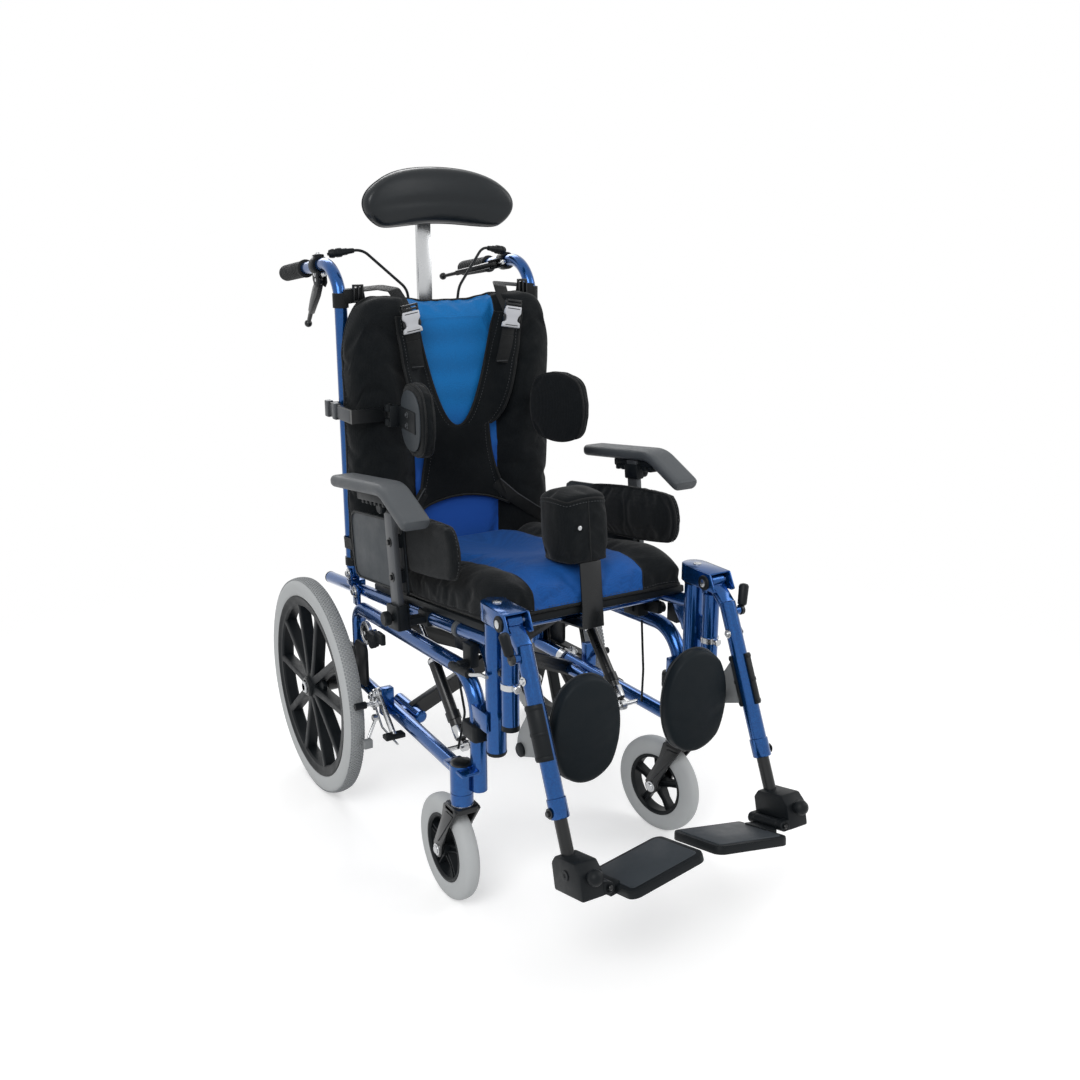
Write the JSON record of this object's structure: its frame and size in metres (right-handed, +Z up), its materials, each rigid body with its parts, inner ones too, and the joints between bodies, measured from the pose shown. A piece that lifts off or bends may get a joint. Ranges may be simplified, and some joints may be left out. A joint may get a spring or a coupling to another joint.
{
  "type": "tilt in space wheelchair",
  "caption": "Attendant wheelchair with a tilting seat, reclining back, headrest, trunk and hip supports, pommel and elevating legrests.",
  "frame": {"origin": "middle of the footprint of the whole chair, on the floor", "axes": "+Z up, -Y towards the front of the chair, +X towards the sitter's left"},
  "size_m": [0.5566, 1.0856, 1.1301],
  "materials": {
    "blue_paint": "metallic blue lacquer",
    "black_paint": "satin black",
    "black_plastic": "fine grained black plastic",
    "grey_plastic": "fine grained dark grey plastic",
    "steel": "brushed",
    "grey_tyre": "solid grey tyre",
    "black_cover": "black upholstery cover",
    "black_leather": "smooth black upholstery",
    "seat_cover": "blue and black upholstery cover"
  },
  "bodies": {
    "base": {"side_frame_left": "blue_paint", "side_frame_right": "blue_paint", "cross_brace": "black_paint"},
    "seat": {"seat_frame": "blue_paint", "seat_pan": "black_plastic", "seat_cushion": "seat_cover"},
    "back": {"back_frame": "blue_paint", "back_pad": "seat_cover", "vest": "black_cover", "trunk_bar": "black_paint", "push_grip_left": "black_plastic", "push_grip_right": "black_plastic", "lever_clamp_left": "black_plastic", "lever_clamp_right": "black_plastic", "lever_cables": "black_plastic"},
    "pommel_unit": {"pommel_bracket": "black_paint", "pommel": "black_cover"},
    "headrest_stem": {"headrest_post": "steel"},
    "headrest": {"headrest_pad": "black_leather"},
    "rear_wheel_left": {"rear_rim_left": "black_plastic", "rear_tyre_left": "grey_tyre"},
    "caster_swivel_left": {"caster_fork_left": "black_plastic"},
    "caster_wheel_left": {"caster_rim_left": "black_plastic", "caster_tyre_left": "grey_tyre"},
    "lock_left": {"wheel_lock_left": "steel"},
    "strut_lower_left": {"strut_cylinder_left": "black_paint"},
    "strut_upper_left": {"strut_rod_left": "steel"},
    "armrest_left": {"arm_post_left": "grey_plastic", "arm_pad_left": "grey_plastic", "hip_pad_left": "black_leather"},
    "trunk_left": {"trunk_pad_left": "black_leather"},
    "lever_left": {"hand_lever_left": "black_plastic"},
    "hanger_left_body": {"hanger_left": "blue_paint"},
    "leg_left": {"legrest_left": "blue_paint", "calf_bracket_left": "grey_plastic"},
    "leg_release_left": {"leg_lever_left": "black_plastic"},
    "calf_left": {"calf_pad_left": "black_leather"},
    "foot_left": {"foot_tube_left": "black_plastic"},
    "plate_left": {"footplate_left": "black_plastic"},
    "rear_wheel_right": {"rear_rim_right": "black_plastic", "rear_tyre_right": "grey_tyre"},
    "caster_swivel_right": {"caster_fork_right": "black_plastic"},
    "caster_wheel_right": {"caster_rim_right": "black_plastic", "caster_tyre_right": "grey_tyre"},
    "lock_right": {"wheel_lock_right": "steel"},
    "strut_lower_right": {"strut_cylinder_right": "black_paint"},
    "strut_upper_right": {"strut_rod_right": "steel"},
    "armrest_right": {"arm_post_right": "grey_plastic", "arm_pad_right": "grey_plastic", "hip_pad_right": "black_leather"},
    "trunk_right": {"trunk_pad_right": "black_leather"},
    "lever_right": {"hand_lever_right": "black_plastic"},
    "hanger_right_body": {"hanger_right": "blue_paint"},
    "leg_right": {"legrest_right": "blue_paint", "calf_bracket_right": "grey_plastic"},
    "leg_release_right": {"leg_lever_right": "black_plastic"},
    "calf_right": {"calf_pad_right": "black_leather"},
    "foot_right": {"foot_tube_right": "black_plastic"},
    "plate_right": {"footplate_right": "black_plastic"}
  },
  "joints": [
    {"name": "seat_tilt", "type": "hinge", "parent": "base", "child": "seat", "pos_m": [0, 0.24099, 0.39764], "axis": [-1, 0, 0], "range_deg": [0, 20]},
    {"name": "back_recline", "type": "hinge", "parent": "seat", "child": "back", "pos_m": [0, 0.27099, 0.42407], "axis": [-1, 0, 0], "range_deg": [0, 50]},
    {"name": "headrest_height", "type": "slide", "parent": "back", "child": "headrest_stem", "axis": [0, 0, 1], "range_m": [-0.06, 0.08]},
    {"name": "headrest_tilt", "type": "hinge", "parent": "headrest_stem", "child": "headrest", "pos_m": [0, 0.33299, 1.06607], "axis": [-1, 0, 0], "range_deg": [-25, 25]},
    {"name": "pommel_slide", "type": "slide", "parent": "seat", "child": "pommel_unit", "axis": [0, -0.993, 0.1182], "range_m": [0, 0.04]},
    {"name": "rear_wheel_spin_left", "type": "hinge", "parent": "base", "child": "rear_wheel_left", "pos_m": [0.253, 0.31699, 0.203], "axis": [1, 0, 0], "continuous": true},
    {"name": "caster_turn_left", "type": "hinge", "parent": "base", "child": "caster_swivel_left", "pos_m": [0.211, -0.19401, 0.086], "axis": [0, 0, 1], "continuous": true},
    {"name": "caster_spin_left", "type": "hinge", "parent": "caster_swivel_left", "child": "caster_wheel_left", "pos_m": [0.20123, -0.14804, 0.086], "axis": [0.9781, 0.2079, 0], "continuous": true},
    {"name": "wheel_lock_left", "type": "hinge", "parent": "base", "child": "lock_left", "pos_m": [0.2205, 0.09099, 0.262], "axis": [1, 0, 0], "range_deg": [0, 44]},
    {"name": "strut_swing_left", "type": "hinge", "parent": "base", "child": "strut_lower_left", "pos_m": [0.156, -0.09601, 0.225], "axis": [1, 0, 0], "range_deg": [0, 8]},
    {"name": "strut_extend_left", "type": "slide", "parent": "strut_lower_left", "child": "strut_upper_left", "axis": [0, 0.6831, 0.7303], "range_m": [0, 0.06]},
    {"name": "arm_height_left", "type": "slide", "parent": "seat", "child": "armrest_left", "axis": [0, 0.1182, 0.993], "range_m": [0, 0.08]},
    {"name": "trunk_swing_left", "type": "hinge", "parent": "back", "child": "trunk_left", "pos_m": [0.147, 0.17469, 0.72407], "axis": [0, 0, 1], "range_deg": [0, 60]},
    {"name": "hand_lever_left", "type": "hinge", "parent": "back", "child": "lever_left", "pos_m": [0.16355, 0.36568, 0.95944], "axis": [0.2079, -0.1168, -0.9711], "range_deg": [0, 35], "stiffness_Nm_per_rad": 1.2},
    {"name": "hanger_swing_left", "type": "hinge", "parent": "seat", "child": "hanger_left_body", "pos_m": [0.181, -0.25101, 0.49], "axis": [0, 0, 1], "range_deg": [0, 90]},
    {"name": "leg_raise_left", "type": "hinge", "parent": "hanger_left_body", "child": "leg_left", "pos_m": [0.181, -0.30101, 0.5055], "axis": [-1, 0, 0], "range_deg": [0, 60]},
    {"name": "leg_lever_left", "type": "hinge", "parent": "leg_left", "child": "leg_release_left", "pos_m": [0.2005, -0.33806, 0.46507], "axis": [1, 0, 0], "range_deg": [0, 25], "stiffness_Nm_per_rad": 0.8},
    {"name": "calf_turn_left", "type": "hinge", "parent": "leg_left", "child": "calf_left", "pos_m": [0.181, -0.32905, 0.32205], "axis": [-1, 0, 0], "range_deg": [-8, 12]},
    {"name": "foot_slide_left", "type": "slide", "parent": "leg_left", "child": "foot_left", "axis": [0, -0.4067, -0.9135], "range_m": [0, 0.06]},
    {"name": "footplate_flip_left", "type": "hinge", "parent": "foot_left", "child": "plate_left", "pos_m": [0.1547, -0.47693, 0.18148], "axis": [0, 0.9703, -0.2419], "range_deg": [0, 85]},
    {"name": "rear_wheel_spin_right", "type": "hinge", "parent": "base", "child": "rear_wheel_right", "pos_m": [-0.253, 0.31699, 0.203], "axis": [1, 0, 0], "continuous": true},
    {"name": "caster_turn_right", "type": "hinge", "parent": "base", "child": "caster_swivel_right", "pos_m": [-0.211, -0.19401, 0.086], "axis": [0, 0, 1], "continuous": true},
    {"name": "caster_spin_right", "type": "hinge", "parent": "caster_swivel_right", "child": "caster_wheel_right", "pos_m": [-0.211, -0.14701, 0.086], "axis": [1, 0, 0], "continuous": true},
    {"name": "wheel_lock_right", "type": "hinge", "parent": "base", "child": "lock_right", "pos_m": [-0.2205, 0.09099, 0.262], "axis": [1, 0, 0], "range_deg": [0, 44]},
    {"name": "strut_swing_right", "type": "hinge", "parent": "base", "child": "strut_lower_right", "pos_m": [-0.156, -0.09601, 0.225], "axis": [1, 0, 0], "range_deg": [0, 8]},
    {"name": "strut_extend_right", "type": "slide", "parent": "strut_lower_right", "child": "strut_upper_right", "axis": [0, 0.6831, 0.7303], "range_m": [0, 0.06]},
    {"name": "arm_height_right", "type": "slide", "parent": "seat", "child": "armrest_right", "axis": [0, 0.1182, 0.993], "range_m": [0, 0.08]},
    {"name": "trunk_swing_right", "type": "hinge", "parent": "back", "child": "trunk_right", "pos_m": [-0.147, 0.17469, 0.72407], "axis": [0, 0, -1], "range_deg": [0, 60]},
    {"name": "hand_lever_right", "type": "hinge", "parent": "back", "child": "lever_right", "pos_m": [-0.188, 0.36331, 0.93978], "axis": [1, 0, 0], "range_deg": [0, 35], "stiffness_Nm_per_rad": 1.2},
    {"name": "hanger_swing_right", "type": "hinge", "parent": "seat", "child": "hanger_right_body", "pos_m": [-0.181, -0.25101, 0.49], "axis": [0, 0, -1], "range_deg": [0, 90]},
    {"name": "leg_raise_right", "type": "hinge", "parent": "hanger_right_body", "child": "leg_right", "pos_m": [-0.181, -0.30101, 0.5055], "axis": [-1, 0, 0], "range_deg": [0, 60]},
    {"name": "leg_lever_right", "type": "hinge", "parent": "leg_right", "child": "leg_release_right", "pos_m": [-0.2005, -0.33806, 0.46507], "axis": [1, 0, 0], "range_deg": [0, 25], "stiffness_Nm_per_rad": 0.8},
    {"name": "calf_turn_right", "type": "hinge", "parent": "leg_right", "child": "calf_right", "pos_m": [-0.181, -0.32905, 0.32205], "axis": [-1, 0, 0], "range_deg": [-8, 12]},
    {"name": "foot_slide_right", "type": "slide", "parent": "leg_right", "child": "foot_right", "axis": [0, -0.4067, -0.9135], "range_m": [0, 0.06]},
    {"name": "footplate_flip_right", "type": "hinge", "parent": "foot_right", "child": "plate_right", "pos_m": [-0.1547, -0.47693, 0.18148], "axis": [0, -0.9703, 0.2419], "range_deg": [0, 85]}
  ],
  "couplings": [
    {"joint": "strut_swing_left", "follows": "seat_tilt", "ratio": 0.2591},
    {"joint": "strut_extend_left", "follows": "seat_tilt", "m_per_rad": 0.14697},
    {"joint": "strut_swing_right", "follows": "seat_tilt", "ratio": 0.2591},
    {"joint": "strut_extend_right", "follows": "seat_tilt", "m_per_rad": 0.14697}
  ]
}
